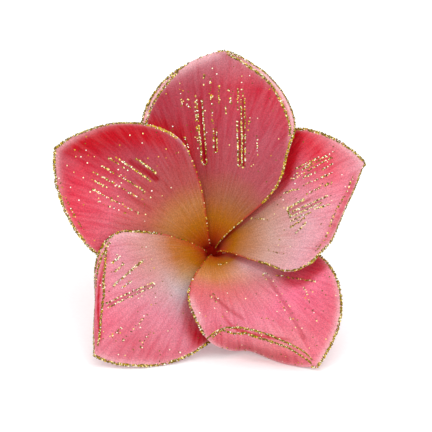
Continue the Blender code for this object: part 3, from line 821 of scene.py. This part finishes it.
def petal_skin(petal, tones, shared):
    """Front skin of a fresh petal: a thin layer of waxy cells over red sap, matt and slightly velvety, so that
    colour wells up softly, light seeps through the thin sheet, and fine veins fan out from the throat."""
    material, tree, shader = new_material(f"petal skin, {petal.key.replace('_', ' ')}")
    place = add_node(tree, "ShaderNodeAttribute", attribute_name="place")
    marks = add_node(tree, "ShaderNodeAttribute", attribute_name="marks")
    lines = add_node(tree, "ShaderNodeAttribute", attribute_name="vein_place")
    # place holds the side, the share of the length and the inset. marks holds the deep red, painted shade with
    # blush; the crease red, painted shade; and the pale tone, with painted highlights and painted light.
    where = add_node(tree, "ShaderNodeSeparateXYZ", {"Vector": place.outputs["Vector"]})
    mark = add_node(tree, "ShaderNodeSeparateXYZ", {"Vector": marks.outputs["Vector"]})

    # Soft clouding, about 6 mm across, breaks the edges of the colour zones as sap does.
    coordinates = add_node(tree, "ShaderNodeTexCoord")
    clouds = add_node(
        tree, "ShaderNodeTexNoise", {"Vector": coordinates.outputs["Object"], "Scale": 160.0, "Detail": 3.0},
    )
    drift = add_node(
        tree, "ShaderNodeMath", {0: clouds.outputs["Fac"], 1: 0.07, 2: -0.035}, operation="MULTIPLY_ADD",
    )
    share = add_node(tree, "ShaderNodeMath", {0: where.outputs["Y"], 1: drift.outputs[0]}, operation="ADD")
    throat = ((0.015, shared.throat), (0.055, shared.gullet), (0.1, shared.amber), (0.17, shared.honey))
    halves = []
    for half in ("under", "over"):
        outward = tuple((place, getattr(tones, f"{half}_{zone}")) for zone, (place, _) in ZONES.items())
        stops = (*throat, *outward, (TIP_ZONE, tones.tip))
        halves.append(add_node(tree, "ShaderNodeValToRGB", {"Fac": share.outputs[0]}, stops=stops))
    across = add_node(
        tree, "ShaderNodeMapRange", {"Value": where.outputs["X"], "From Min": -0.45, "From Max": 0.45},
        interpolation_type="SMOOTHSTEP",
    )
    skin = add_node(
        tree, "ShaderNodeMix",
        {0: across.outputs[0], 6: halves[0].outputs["Color"], 7: halves[1].outputs["Color"]},
        data_type="RGBA",
    )

    # Veins: streaks about 2 degrees wide that run along the petal, faint near the throat.
    streaks = add_node(
        tree, "ShaderNodeTexNoise",
        {"Vector": lines.outputs["Vector"], "Scale": 1.0, "Detail": 4.0, "Roughness": 0.62},
    )
    streak_mask = add_node(
        tree, "ShaderNodeMapRange", {"Value": where.outputs["Y"], "From Min": 0.3, "From Max": 0.6},
        interpolation_type="SMOOTHSTEP",
    )
    streak = add_node(
        tree, "ShaderNodeMapRange",
        {"Value": streaks.outputs["Fac"], "From Min": 0.48, "From Max": 0.78, "To Max": 0.2},
    )
    streak = add_node(
        tree, "ShaderNodeMath", {0: streak.outputs[0], 1: streak_mask.outputs[0]}, operation="MULTIPLY",
    )
    veined = add_node(
        tree, "ShaderNodeMix", {0: streak.outputs[0], 6: skin.outputs[2], 7: shared.deep}, data_type="RGBA",
    )
    # Painted shade: deep red where the neighbour's edge shades the petal, with the blush and shade patches.
    tucked = add_node(
        tree, "ShaderNodeMix", {0: mark.outputs["X"], 6: veined.outputs[2], 7: shared.deep}, data_type="RGBA",
    )
    # Painted shade: crease red, stronger where a crease is deeper.
    creased = add_node(
        tree, "ShaderNodeMix", {0: mark.outputs["Y"], 6: tucked.outputs[2], 7: shared.crease},
        data_type="RGBA",
    )
    # The pale margin, with painted highlights on crests and tips and painted light near the foot.
    paled = add_node(
        tree, "ShaderNodeMix", {0: mark.outputs["Z"], 6: creased.outputs[2], 7: shared.pale},
        data_type="RGBA",
    )

    # Cell grain, really about 0.05 mm, drawn at 0.3 mm so that it shows.
    grain = add_node(
        tree, "ShaderNodeTexNoise", {"Vector": coordinates.outputs["Object"], "Scale": 3300.0, "Detail": 2.0},
    )
    speckle = add_node(
        tree, "ShaderNodeMapRange",
        {"Value": grain.outputs["Fac"], "From Min": 0.3, "From Max": 0.7, "To Min": 0.76, "To Max": 1.16},
    )
    ripple = add_node(
        tree, "ShaderNodeMapRange",
        {"Value": streaks.outputs["Fac"], "From Min": 0.35, "From Max": 0.65, "To Min": 1.04, "To Max": 0.96},
    )
    speckle = add_node(
        tree, "ShaderNodeMath", {0: speckle.outputs[0], 1: ripple.outputs[0]}, operation="MULTIPLY",
    )
    dusty = add_node(
        tree, "ShaderNodeMapRange",
        {"Value": streaks.outputs["Fac"], "From Min": 0.35, "From Max": 0.65, "To Min": 0.96, "To Max": 1.04},
    )
    grained = add_node(
        tree, "ShaderNodeHueSaturation",
        {"Saturation": dusty.outputs[0], "Value": speckle.outputs[0], "Color": paled.outputs[2]},
    )
    relief_sum = add_node(
        tree, "ShaderNodeMath", {0: streaks.outputs["Fac"], 1: 0.8, 2: grain.outputs["Fac"]},
        operation="MULTIPLY_ADD",
    )
    bump = add_node(
        tree, "ShaderNodeBump", {"Height": relief_sum.outputs[0], "Strength": 0.35, "Distance": 0.12 * MM},
    )
    gloss = add_node(
        tree, "ShaderNodeMapRange", {"Value": grain.outputs["Fac"], "To Min": 0.42, "To Max": 0.6},
    )
    feed(tree, shader, {
        "Base Color": grained.outputs["Color"], "Roughness": gloss.outputs[0],
        "Normal": bump.outputs["Normal"], "IOR": 1.42, "Subsurface Weight": 0.12,
        "Subsurface Radius": (1.0, 0.3, 0.25), "Subsurface Scale": 0.8 * MM, "Specular IOR Level": 0.14,
    })
    return material


def petal_back(shared):
    """Back of a petal: paler than its front, cream at the foot, with the redder half that was outermost in the
    bud, and the same fine veins standing slightly proud."""
    material, tree, shader = new_material("petal back")
    place = add_node(tree, "ShaderNodeAttribute", attribute_name="place")
    lines = add_node(tree, "ShaderNodeAttribute", attribute_name="vein_place")
    where = add_node(tree, "ShaderNodeSeparateXYZ", {"Vector": place.outputs["Vector"]})
    streaks = add_node(
        tree, "ShaderNodeTexNoise",
        {"Vector": lines.outputs["Vector"], "Scale": 1.2, "Detail": 4.0, "Roughness": 0.6},
    )
    wander = add_node(
        tree, "ShaderNodeMath", {0: streaks.outputs["Fac"], 1: 0.5, 2: where.outputs["X"]},
        operation="MULTIPLY_ADD",
    )
    outermost = add_node(
        tree, "ShaderNodeMapRange",
        {"Value": wander.outputs[0], "From Min": 0.35, "From Max": 0.85, "To Max": 0.75},
        interpolation_type="SMOOTHSTEP",
    )
    two_tone = add_node(
        tree, "ShaderNodeMix", {0: outermost.outputs[0], 6: shared.back, 7: shared.back_stripe},
        data_type="RGBA",
    )
    foot = add_node(
        tree, "ShaderNodeMapRange", {"Value": where.outputs["Y"], "From Min": 0.34, "From Max": 0.04},
        interpolation_type="SMOOTHSTEP",
    )
    based = add_node(
        tree, "ShaderNodeMix", {0: foot.outputs[0], 6: two_tone.outputs[2], 7: shared.back_foot},
        data_type="RGBA",
    )
    vein = add_node(
        tree, "ShaderNodeMapRange",
        {"Value": streaks.outputs["Fac"], "From Min": 0.5, "From Max": 0.75, "To Max": 0.3},
    )
    veined = add_node(
        tree, "ShaderNodeMix", {0: vein.outputs[0], 6: based.outputs[2], 7: shared.back_stripe},
        data_type="RGBA",
    )
    edge = add_node(
        tree, "ShaderNodeMapRange",
        {"Value": where.outputs["Z"], "From Min": 1.6, "From Max": 0.2, "To Max": 0.6},
    )
    edged = add_node(
        tree, "ShaderNodeMix", {0: edge.outputs[0], 6: veined.outputs[2], 7: shared.pale}, data_type="RGBA",
    )
    bump = add_node(
        tree, "ShaderNodeBump", {"Height": streaks.outputs["Fac"], "Strength": 0.5, "Distance": 0.15 * MM},
    )
    feed(tree, shader, {
        "Base Color": edged.outputs[2], "Normal": bump.outputs["Normal"], "Roughness": 0.5, "IOR": 1.42,
        "Subsurface Weight": 0.12, "Subsurface Radius": (1.0, 0.4, 0.3), "Subsurface Scale": 0.8 * MM,
    })
    return material


def build_petal(petal, sizes, tones, shared, back):
    """A fine grid laid on the petal's front face and thickened backwards."""
    cells = sizes.petal_cells
    bm = bmesh.new()
    bmesh.ops.create_grid(bm, x_segments=cells, y_segments=cells, size=1.0)
    mesh = bpy.data.meshes.new(f"{petal.key}_petal")
    bm.to_mesh(mesh)
    bm.free()
    square = np.empty(len(mesh.vertices) * 3, np.float32)
    mesh.vertices.foreach_get("co", square)
    across, up = square.reshape(-1, 3)[:, 0].astype(float), square.reshape(-1, 3)[:, 1].astype(float)
    round_x = across * np.sqrt(1 - up * up / 2)
    round_y = up * np.sqrt(1 - across * across / 2)
    ring = np.hypot(round_x, round_y)
    turn = np.arctan2(round_x, round_y) / np.pi
    edge_x, edge_y = margin_point(petal, turn)
    inset = (1 - ring) * np.hypot(edge_x, edge_y - MOUTH_RADIUS - petal.length / 2)
    x, y, behind = rolled_place(petal, turn, inset)
    points = petal_surface(petal, x, y, behind, sizes.wave / MM)

    along = np.clip((np.hypot(x, y) - MOUTH_RADIUS) / petal.length, 0, 1)
    angle = np.arctan2(x, y)
    half = np.where(angle >= 0, side_angle(petal.over, along), side_angle(petal.under, along)) + 0.02
    side = np.clip(angle / half, -1, 1)
    foot = rise(along * petal.length, 0, FOOT_TAPER)
    thinnest = sizes.margin_thickness / sizes.petal_thickness
    thick = thinnest + (1 - thinnest) * np.minimum(rise(inset, 0, MARGIN_TAPER), 0.4 + 0.6 * foot)

    mesh.vertices.foreach_set("co", (points * MM).astype(np.float32).ravel())
    write_attribute(mesh, "place", "FLOAT_VECTOR", np.stack([side, along, inset], axis=-1))
    write_attribute(mesh, "marks", "FLOAT_VECTOR", petal_marks(petal, x, y, along, turn, inset))
    veins = [
        np.degrees(angle) / VEIN_DEGREES, along * petal.length / VEIN_LENGTH, np.full_like(along, petal.seed),
    ]
    write_attribute(mesh, "vein_place", "FLOAT_VECTOR", np.stack(veins, axis=-1))
    mesh.transform(flower_matrix())
    mesh.update()
    mesh.shade_smooth()
    skin = petal_skin(petal, tones, shared)
    piece = place_piece(f"{petal.key}_petal", mesh, f"petal_{petal.key}", "petal", skin, back)
    group = piece.vertex_groups.new(name="thickness")
    for index, share in enumerate(thick.tolist()):
        group.add([index], share, "REPLACE")
    solidify = piece.modifiers.new("thickness", "SOLIDIFY")
    solidify.thickness = sizes.petal_thickness
    solidify.offset = -1.0
    solidify.vertex_group = group.name
    solidify.material_offset = 1
    return piece


# ---------------------------------------------------------------------------------------------------------
# Glitter.
# ---------------------------------------------------------------------------------------------------------


def glitter_gold(shared):
    """Gold polyester glitter: tiny die-cut flakes of lacquered foil, so each catches the light on its own, and
    they run from olive where they turn away to pale yellow and white where they glint."""
    material, tree, shader = new_material("gold polyester glitter")
    tone = add_node(tree, "ShaderNodeAttribute", attribute_name="tone")
    # Painted shade and glint: olive for the dark tones and white for the glints, whatever light falls on the
    # flake.
    ramp = add_node(
        tree, "ShaderNodeValToRGB", {"Fac": tone.outputs["Fac"]},
        stops=(
            (0.0, linear_colour("#564400")), (0.3, linear_colour("#806800")), (0.5, tuple(shared.gold)),
            (0.72, linear_colour("#dcb81c")), (0.85, linear_colour("#f6e890")),
            (1.0, linear_colour("#fffff6")),
        ),
    )
    # Lacquer scuffs, drawn at 0.1 mm, a third of a flake.
    coordinates = add_node(tree, "ShaderNodeTexCoord")
    scuffs = add_node(
        tree, "ShaderNodeTexNoise", {"Vector": coordinates.outputs["Object"], "Scale": 9000.0, "Detail": 1.0},
    )
    dull = add_node(
        tree, "ShaderNodeMapRange", {"Value": scuffs.outputs["Fac"], "To Min": 0.22, "To Max": 0.5},
    )
    feed(tree, shader, {
        "Base Color": ramp.outputs["Color"], "Roughness": dull.outputs[0], "Metallic": 0.2,
        "Specular IOR Level": 0.2,
    })
    return material


def flake_frames(place, u, v):
    """Points and outward normals of a surface given by place(u, v), at arrays of u and v."""
    step = 0.002
    points = place(u, v)
    normals = np.cross(place(u, v + step) - points, place(u + step, v) - points)
    return points, normals / np.linalg.norm(normals, axis=1)[:, None]


def flake_tones(dice, count, dark, glint):
    """Tones from 0, olive, to 1, a white glint, for the share of the flakes that are dark and that glint."""
    draw = dice.random(count)
    bright = np.where(draw > 1 - glint, dice.uniform(0.8, 1.0, count), dice.uniform(0.42, 0.75, count))
    return np.where(draw < dark, dice.uniform(0.0, 0.35, count), bright)


def petal_flakes(petal, sizes, dice):
    """Centres, normals and tones of the flakes on one petal, in millimetres about the flower's axis."""
    wave = sizes.wave / MM
    found = []

    def on_margin(turn, inset):
        return petal_surface(petal, *rolled_place(petal, turn, inset), wave)

    def add(place, u, v, dark, glint):
        found.append((*flake_frames(place, u, v), flake_tones(dice, len(u), dark, glint)))

    for trim in petal.trims:
        corners, corner_insets = zip(*trim.path)
        way = np.linspace(0, len(corners) - 1, 120)
        turns = np.interp(way, range(len(corners)), corners)
        insets = np.interp(way, range(len(corners)), corner_insets)
        steps = np.linalg.norm(np.diff(on_margin(turns, insets), axis=0), axis=1)
        travel = np.concatenate([[0], np.cumsum(steps)])
        places = dice.uniform(0, travel[-1], round(travel[-1] * trim.flakes))
        spread = dice.uniform(-0.5, 0.5, len(places)) * trim.width
        add(
            on_margin, np.interp(places, travel, turns), np.interp(places, travel, insets) + spread,
            trim.dark, TRIM_GLINT,
        )

    # Beads run down one bank of a crease, round its lower end and up the other bank, or along a dotted row.
    for crease in petal.creases:
        length = math.dist(crease.start, crease.end)
        step_x, step_y = ((end - start) / length for start, end in zip(crease.start, crease.end))
        if isinstance(crease, Dots):
            down = dice.uniform(0, length, round(length * crease.flakes))
            aside = dice.normal(0, ROW_STRAY, len(down))
        else:
            off = crease.width + BEAD_GAP
            ways = dice.uniform(0, 2 * length + math.pi * off, round(2 * length * crease.beads))
            rounding = np.clip((ways - length) / off, 0, math.pi)
            back_up = np.maximum(ways - length - math.pi * off, 0)
            down = np.minimum(ways, length) - back_up + off * np.sin(rounding)
            aside = off * np.cos(rounding) + dice.normal(0, BEAD_STRAY, len(ways))
        x = crease.start[0] + step_x * down + step_y * aside
        y = crease.start[1] + step_y * down - step_x * aside
        add(on_margin, *margin_place(petal, x, y), petal.dark, LOOSE_GLINT)

    # Loose specks all over the outer part.
    share = dice.uniform(0.4, 0.92, sizes.specks)
    reach = MOUTH_RADIUS + petal.length * share
    way = dice.uniform(-0.9 * side_angle(petal.under, share), 0.9 * side_angle(petal.over, share))
    x, y = reach * np.sin(way), reach * np.cos(way)
    turn, inset = margin_place(petal, x, y)
    seen = (cover_distance(petal, x, y) > 0.5) & (inset > 0.2)
    add(on_margin, turn[seen], inset[seen], petal.dark, LOOSE_GLINT)
    return (np.concatenate(column) for column in zip(*found))


def build_glitter(petal, sizes, material):
    """One mesh of little five-sided flakes, each tilted its own way, on one petal."""
    dice = np.random.default_rng(petal.seed)
    centres, normals, tones = petal_flakes(petal, sizes, dice)
    placed = flower_matrix()
    clear = centres @ np.array(placed.to_3x3())[2] * MM + placed.translation.z > GROUND_CLEARANCE
    centres, normals, tones = centres[clear], normals[clear], tones[clear]

    bm = bmesh.new()
    bmesh.ops.create_cone(
        bm, cap_ends=True, cap_tris=False, segments=5, radius1=sizes.flake / 2, radius2=sizes.flake / 2,
        depth=sizes.flake_thickness,
    )
    flake = np.array([vert.co for vert in bm.verts]) / MM
    mesh = bpy.data.meshes.new(f"{petal.key}_glitter")
    bm.to_mesh(mesh)
    for _ in range(len(centres) - 1):
        bm.from_mesh(mesh)
    bm.to_mesh(mesh)
    bm.free()

    facing = normals + dice.normal(0, FLAKE_TILT, normals.shape)
    facing /= np.linalg.norm(facing, axis=1)[:, None]
    sideways = np.cross(facing, dice.normal(0, 1, normals.shape))
    sideways /= np.linalg.norm(sideways, axis=1)[:, None]
    width = dice.uniform(0.75, 1.1, (len(centres), 1, 1))
    onward = np.cross(facing, sideways)
    across = flake[None, :, :1] * sideways[:, None] + flake[None, :, 1:2] * onward[:, None]
    points = (centres + normals * sizes.flake_thickness / MM * 0.6)[:, None] + flake[None, :, 2:] * facing[
        :, None,
    ]
    points = points + width * across
    mesh.vertices.foreach_set("co", (points * MM).astype(np.float32).ravel())
    write_attribute(mesh, "tone", "FLOAT", np.repeat(tones, len(flake)))
    mesh.transform(placed)
    mesh.update()
    return place_piece(f"{petal.key}_glitter", mesh, None, "gold_glitter", material)


# ---------------------------------------------------------------------------------------------------------
# The tail behind the petals.
# ---------------------------------------------------------------------------------------------------------


def tube_radius(height):
    """The tube's outer radius: narrow in the middle, flared at the mouth, and swollen round the stamens."""
    flare = TUBE_FLARE * math.exp(height / TUBE_FLARE_LENGTH)
    swell = FOOT_SWELL * math.exp(-(((height - FOOT_SWELL_PLACE) / FOOT_SWELL_LENGTH) ** 2))
    return TUBE_RADIUS + flare + swell


def plant_skin(name, light, dark, scale, roughness, glow=0.0):
    """Smooth green or cream plant skin with long cells: a soft satin surface, streaked lengthwise and mottled.
    glow stands for the light that comes through a thin wall."""
    material, tree, shader = new_material(name)
    coordinates = add_node(tree, "ShaderNodeTexCoord")
    turned_back = add_node(
        tree, "ShaderNodeMapping",
        {"Vector": coordinates.outputs["Object"], "Rotation": (-math.radians(AXIS_TILT), 0, 0)},
    )
    stretched = add_node(
        tree, "ShaderNodeMapping", {"Vector": turned_back.outputs["Vector"], "Scale": (1.0, 1.0, 0.15)},
    )
    fibres = add_node(
        tree, "ShaderNodeTexNoise",
        {"Vector": stretched.outputs["Vector"], "Scale": scale, "Detail": 4.0, "Roughness": 0.6},
    )
    mottle = add_node(
        tree, "ShaderNodeTexNoise",
        {"Vector": coordinates.outputs["Object"], "Scale": scale / 4, "Detail": 2.0},
    )
    mixed = add_node(
        tree, "ShaderNodeMath", {0: fibres.outputs["Fac"], 1: mottle.outputs["Fac"]}, operation="MULTIPLY",
    )
    ramp = add_node(
        tree, "ShaderNodeValToRGB", {"Fac": mixed.outputs[0]}, stops=((0.12, dark), (0.42, light)),
    )
    bump = add_node(
        tree, "ShaderNodeBump", {"Height": fibres.outputs["Fac"], "Strength": 0.4, "Distance": 0.1 * MM},
    )
    feed(tree, shader, {
        "Base Color": ramp.outputs["Color"], "Normal": bump.outputs["Normal"], "Roughness": roughness,
        "Emission Color": dark, "Emission Strength": glow, "IOR": 1.42, "Subsurface Weight": 0.1,
        "Subsurface Radius": (0.8, 0.6, 0.3), "Subsurface Scale": 0.6 * MM,
    })
    return material


class FLOWER_OT_petals(bpy.types.Operator):
    """Build the five petals on the frame's petals"""

    bl_idname = "flower.petals"
    bl_label = "Petals"

    def execute(self, context):
        scene = context.scene
        back = petal_back(scene.flower_shared)
        for petal in PETALS:
            build_petal(
                petal, scene.flower_sizes, getattr(scene, f"flower_{petal.key}"), scene.flower_shared, back,
            )
        return {"FINISHED"}


class FLOWER_OT_glitter(bpy.types.Operator):
    """Scatter the gold flakes along the margins, the creases and the veins"""

    bl_idname = "flower.glitter"
    bl_label = "Glitter"

    def execute(self, context):
        material = glitter_gold(context.scene.flower_shared)
        for petal in PETALS:
            build_glitter(petal, context.scene.flower_sizes, material)
        return {"FINISHED"}


class FLOWER_OT_tube(bpy.types.Operator):
    """Turn the corolla tube, whose flare clasps the feet of the petals"""

    bl_idname = "flower.tube"
    bl_label = "Corolla tube"

    def execute(self, context):
        shared = context.scene.flower_shared
        heights = [TUBE_FOOT + (TUBE_RIM - TUBE_FOOT) * (1 - (1 - i / 40) ** 1.6) for i in range(41)]
        outer = [(tube_radius(height), height) for height in heights]
        inner = [
            (radius - TUBE_WALL * (0.5 + 0.5 * min(1, -height / 3)), height)
            for radius, height in reversed(outer)
        ]
        bm = turned(outer + inner, steps=60, closed=True)
        for face in bm.faces:
            middle = face.calc_center_median() / MM
            if middle.z < LINING_TOP and math.hypot(middle.x, middle.y) < tube_radius(middle.z) - 0.1:
                face.material_index = 1
        skin = plant_skin("corolla tube skin", tuple(shared.tube), tuple(shared.tube_foot), 900.0, 0.45)
        # The lining's faint glow is painted light, for the light that comes through the tube's thin wall.
        lining = plant_skin(
            "corolla tube lining", linear_colour("#bc2e10"), linear_colour("#961402"), 900.0, 0.6, 0.14,
        )
        finish_piece("flower_tube", bm, "corolla_tube", "tube", skin, lining)
        return {"FINISHED"}


class FLOWER_OT_calyx(bpy.types.Operator):
    """Turn the calyx cup and draw its rim out into five blunt lobes"""

    bl_idname = "flower.calyx"
    bl_label = "Calyx"

    def execute(self, context):
        shared = context.scene.flower_shared
        cup = [
            (0.0, CALYX_BOTTOM), (0.7, CALYX_BOTTOM), (1.25, CALYX_BOTTOM + 0.05), (1.9, CALYX_BOTTOM + 0.4),
            (2.4, CALYX_BOTTOM + 1.0), (2.8, CALYX_BOTTOM + 1.7), (3.0, CALYX_BOTTOM + 2.4),
            (3.1, CALYX_FLOOR + 1.0),
            (3.12, CALYX_FLOOR + 1.5), (3.0, CALYX_FLOOR + 1.62), (2.8, CALYX_FLOOR + 1.5),
            (2.75, CALYX_FLOOR + 0.8),
            (2.7, CALYX_FLOOR + 0.3), (2.3, CALYX_FLOOR), (1.2, CALYX_FLOOR), (0.0, CALYX_FLOOR),
        ]
        bm = turned(cup, steps=CALYX_LOBES * 12)
        rim = CALYX_RIM * MM
        for vert in bm.verts:
            if vert.co.z > rim:
                bearing = math.atan2(vert.co.x, vert.co.y)
                share = (vert.co.z - rim) / (CALYX_LOBE_HEIGHT * MM)
                lobe = (0.5 + 0.5 * math.cos(CALYX_LOBES * bearing)) ** 0.8
                vert.co.z += CALYX_LOBE_HEIGHT * MM * share * lobe
        material = plant_skin("calyx skin", tuple(shared.calyx), linear_colour("#55662a"), 1400.0, 0.5)
        piece = finish_piece("flower_calyx", bm, "calyx", "calyx", material)
        smooth = piece.modifiers.new("smooth", "SUBSURF")
        smooth.levels = smooth.render_levels = 1
        return {"FINISHED"}


class FLOWER_OT_stalk(bpy.types.Operator):
    """Turn the cut stalk, with its pale cut face"""

    bl_idname = "flower.stalk"
    bl_label = "Stalk"

    def execute(self, context):
        shared = context.scene.flower_shared
        middle = (STALK_END + STALK_TOP) / 2
        profile = [
            (0.0, STALK_END + 0.06), (0.5, STALK_END + 0.03), (STALK_RADIUS - 0.12, STALK_END),
            (STALK_RADIUS - 0.02, STALK_END + 0.05),
            (STALK_RADIUS, STALK_END + 0.2), (STALK_RADIUS - 0.05, middle - 0.6),
            (STALK_RADIUS - 0.06, middle),
            (STALK_RADIUS, middle + 0.8), (STALK_RADIUS + 0.1, STALK_TOP - 0.2),
            (STALK_RADIUS + 0.02, STALK_TOP - 0.02),
            (STALK_RADIUS - 0.3, STALK_TOP), (0.0, STALK_TOP),
        ]
        bm = turned(profile, steps=48)
        cut = [face for face in bm.faces if face.calc_center_median().z < (STALK_END + 0.055) * MM]
        for face in cut:
            face.material_index = 1
        skin = plant_skin("stalk skin", tuple(shared.stalk), linear_colour("#5c6c30"), 1400.0, 0.5)
        pith = plant_skin("cut stalk pith", linear_colour("#dfe0b4"), linear_colour("#a8ac6c"), 2600.0, 0.6)
        finish_piece("flower_stalk", bm, "pedicel", "stalk", skin, pith)
        return {"FINISHED"}


class FLOWER_OT_stamens(bpy.types.Operator):
    """Turn the pistil and the five stamens in the foot of the tube"""

    bl_idname = "flower.stamens"
    bl_label = "Pistil and stamens"

    def execute(self, context):
        shared = context.scene.flower_shared
        pistil = [
            (0.0, -13.5), (0.3, -13.48), (0.45, -13.4), (0.57, -13.15), (0.6, -12.9), (0.57, -12.65),
            (0.5, -12.4), (0.35, -12.15),
            (0.25, -12.0), (0.21, -11.6), (0.22, -11.2), (0.32, -11.0), (0.42, -10.7), (0.42, -10.5),
            (0.36, -10.25), (0.2, -10.06), (0.0, -10.0),
        ]
        ovary = plant_skin("pistil skin", linear_colour("#ccd394"), linear_colour("#9aa858"), 2400.0, 0.4)
        finish_piece("flower_pistil", turned(pistil, steps=32), "pistil", "anther", ovary)
        stamen = [
            (0.0, -12.9), (0.1, -12.88), (0.16, -12.8), (0.18, -12.5), (0.2, -12.2), (0.28, -11.9),
            (0.34, -11.5), (0.34, -11.1),
            (0.3, -10.6), (0.22, -10.2), (0.14, -9.95), (0.06, -9.8), (0.0, -9.75),
        ]
        pollen = plant_skin(
            "anther with pollen", tuple(shared.pollen), linear_colour("#b48a34"), 5200.0, 0.75,
        )
        for i in range(STAMENS):
            bm = turned(stamen, steps=24)
            # Each anther has a furrow down the side that faces the pistil.
            for vert in bm.verts:
                inner = max(0.0, -vert.co.y / (ANTHER_RADIUS * MM)) ** 4
                belly = math.exp(-(((vert.co.z / MM - ANTHER_MIDDLE) / ANTHER_HALF_LENGTH) ** 2))
                vert.co.y += FURROW_DEPTH * MM * inner * belly
            bearing = math.tau * i / STAMENS
            bmesh.ops.rotate(bm, verts=bm.verts, cent=(0, 0, 0), matrix=Matrix.Rotation(-bearing, 3, "Z"))
            place = Vector((math.sin(bearing), math.cos(bearing), 0.0)) * STAMEN_RING_RADIUS * MM
            bmesh.ops.translate(bm, verts=bm.verts, vec=place)
            finish_piece(f"flower_stamen_{i + 1}", bm, f"stamen_{i + 1}", "anther", pollen)
        return {"FINISHED"}


def backdrop_paper(shared):
    """Matt white card: an even, slightly toothed surface without gloss."""
    material, tree, shader = new_material("matt white card")
    coordinates = add_node(tree, "ShaderNodeTexCoord")
    tooth = add_node(
        tree, "ShaderNodeTexNoise", {"Vector": coordinates.outputs["Object"], "Scale": 900.0, "Detail": 2.0},
    )
    tint = add_node(
        tree, "ShaderNodeValToRGB", {"Fac": tooth.outputs["Fac"]},
        stops=((0.3, linear_colour("#f8f7f7")), (0.7, tuple(shared.floor))),
    )
    feed(tree, shader, {
        "Base Color": tint.outputs["Color"], "Roughness": 0.95, "Specular IOR Level": 0.1,
    })
    return material


class FLOWER_OT_stage(bpy.types.Operator):
    """Lay the pale floor and set the soft lights and the camera"""

    bl_idname = "flower.stage"
    bl_label = "Stage"

    def execute(self, context):
        scene = context.scene
        stage = scene.flower_stage
        bm = bmesh.new()
        bmesh.ops.create_grid(bm, x_segments=8, y_segments=8, size=3.0)
        mesh = bpy.data.meshes.new("floor")
        bm.to_mesh(mesh)
        bm.free()
        mesh.materials.append(backdrop_paper(scene.flower_shared))
        floor = bpy.data.objects.new("floor", mesh)
        scene.collection.objects.link(floor)

        throat = flower_matrix().translation
        forward = Vector((0.0, math.cos(stage.elevation), -math.sin(stage.elevation)))
        upward = Vector((0.0, math.sin(stage.elevation), math.cos(stage.elevation)))
        aim = throat + Vector((stage.aim_right, 0.0, 0.0)) + upward * stage.aim_up
        camera = bpy.data.objects.new("camera", bpy.data.cameras.new("camera"))
        scene.collection.objects.link(camera)
        camera.data.lens = stage.lens
        camera.data.sensor_width = 36.0
        camera.data.clip_start = 0.01
        camera.location = aim - forward * stage.distance
        camera.rotation_euler = forward.to_track_quat("-Z", "Y").to_euler()
        scene.camera = camera

        for name, power, size, place in (
            ("key", stage.key, 1.2, (0.0, -0.6, 0.85)),
            ("fill", stage.fill, 0.6, (0.6, -0.5, 0.5)),
            ("back", stage.back, 0.8, (-0.1, 0.6, 0.35)),
        ):
            light = bpy.data.objects.new(name, bpy.data.lights.new(name, "AREA"))
            scene.collection.objects.link(light)
            light.data.energy = power
            light.data.size = size
            light.location = place
            light.rotation_euler = (throat - light.location).to_track_quat("-Z", "Y").to_euler()

        world = bpy.data.worlds.new("white room")
        world.use_nodes = True
        world.node_tree.nodes["Background"].inputs["Strength"].default_value = stage.sky
        world.node_tree.nodes["Background"].inputs["Color"].default_value = (1.0, 1.0, 1.0, 1.0)
        scene.world = world
        # Plain colours, with no film look laid over them.
        scene.view_settings.view_transform = "Standard"
        return {"FINISHED"}


class FLOWER_PT_panel(bpy.types.Panel):
    """Lists the flower's steps in the 3D view's sidebar"""

    bl_idname = "FLOWER_PT_panel"
    bl_label = "Glittered flower"
    bl_space_type = "VIEW_3D"
    bl_region_type = "UI"
    bl_category = "Flower"

    def draw(self, context):
        for name in GROUPS:
            group = getattr(context.scene, name)
            box = self.layout.box()
            for prop in group.bl_rna.properties:
                if prop.identifier not in ("rna_type", "name"):
                    box.prop(group, prop.identifier)
        for operator in OPERATORS:
            self.layout.operator(operator.bl_idname)


GROUPS = {
    "flower_sizes": FlowerSizes,
    "flower_stage": StageSizes,
    "flower_shared": SharedColours,
    **{f"flower_{key}": group for key, group in PETAL_COLOURS.items()},
}
OPERATORS = (
    FLOWER_OT_petals, FLOWER_OT_glitter, FLOWER_OT_tube, FLOWER_OT_calyx, FLOWER_OT_stalk, FLOWER_OT_stamens,
    FLOWER_OT_stage,
)


def register():
    for cls in (*GROUPS.values(), *OPERATORS, FLOWER_PT_panel):
        bpy.utils.register_class(cls)
    for name, cls in GROUPS.items():
        setattr(bpy.types.Scene, name, PointerProperty(type=cls))


def unregister():
    for name in GROUPS:
        delattr(bpy.types.Scene, name)
    for cls in reversed((*GROUPS.values(), *OPERATORS, FLOWER_PT_panel)):
        bpy.utils.unregister_class(cls)


def main():
    register()
    for operator in OPERATORS:
        group, name = operator.bl_idname.split(".")
        getattr(getattr(bpy.ops, group), name)()
    bpy.context.view_layer.update()


if __name__ == "__main__":
    main()
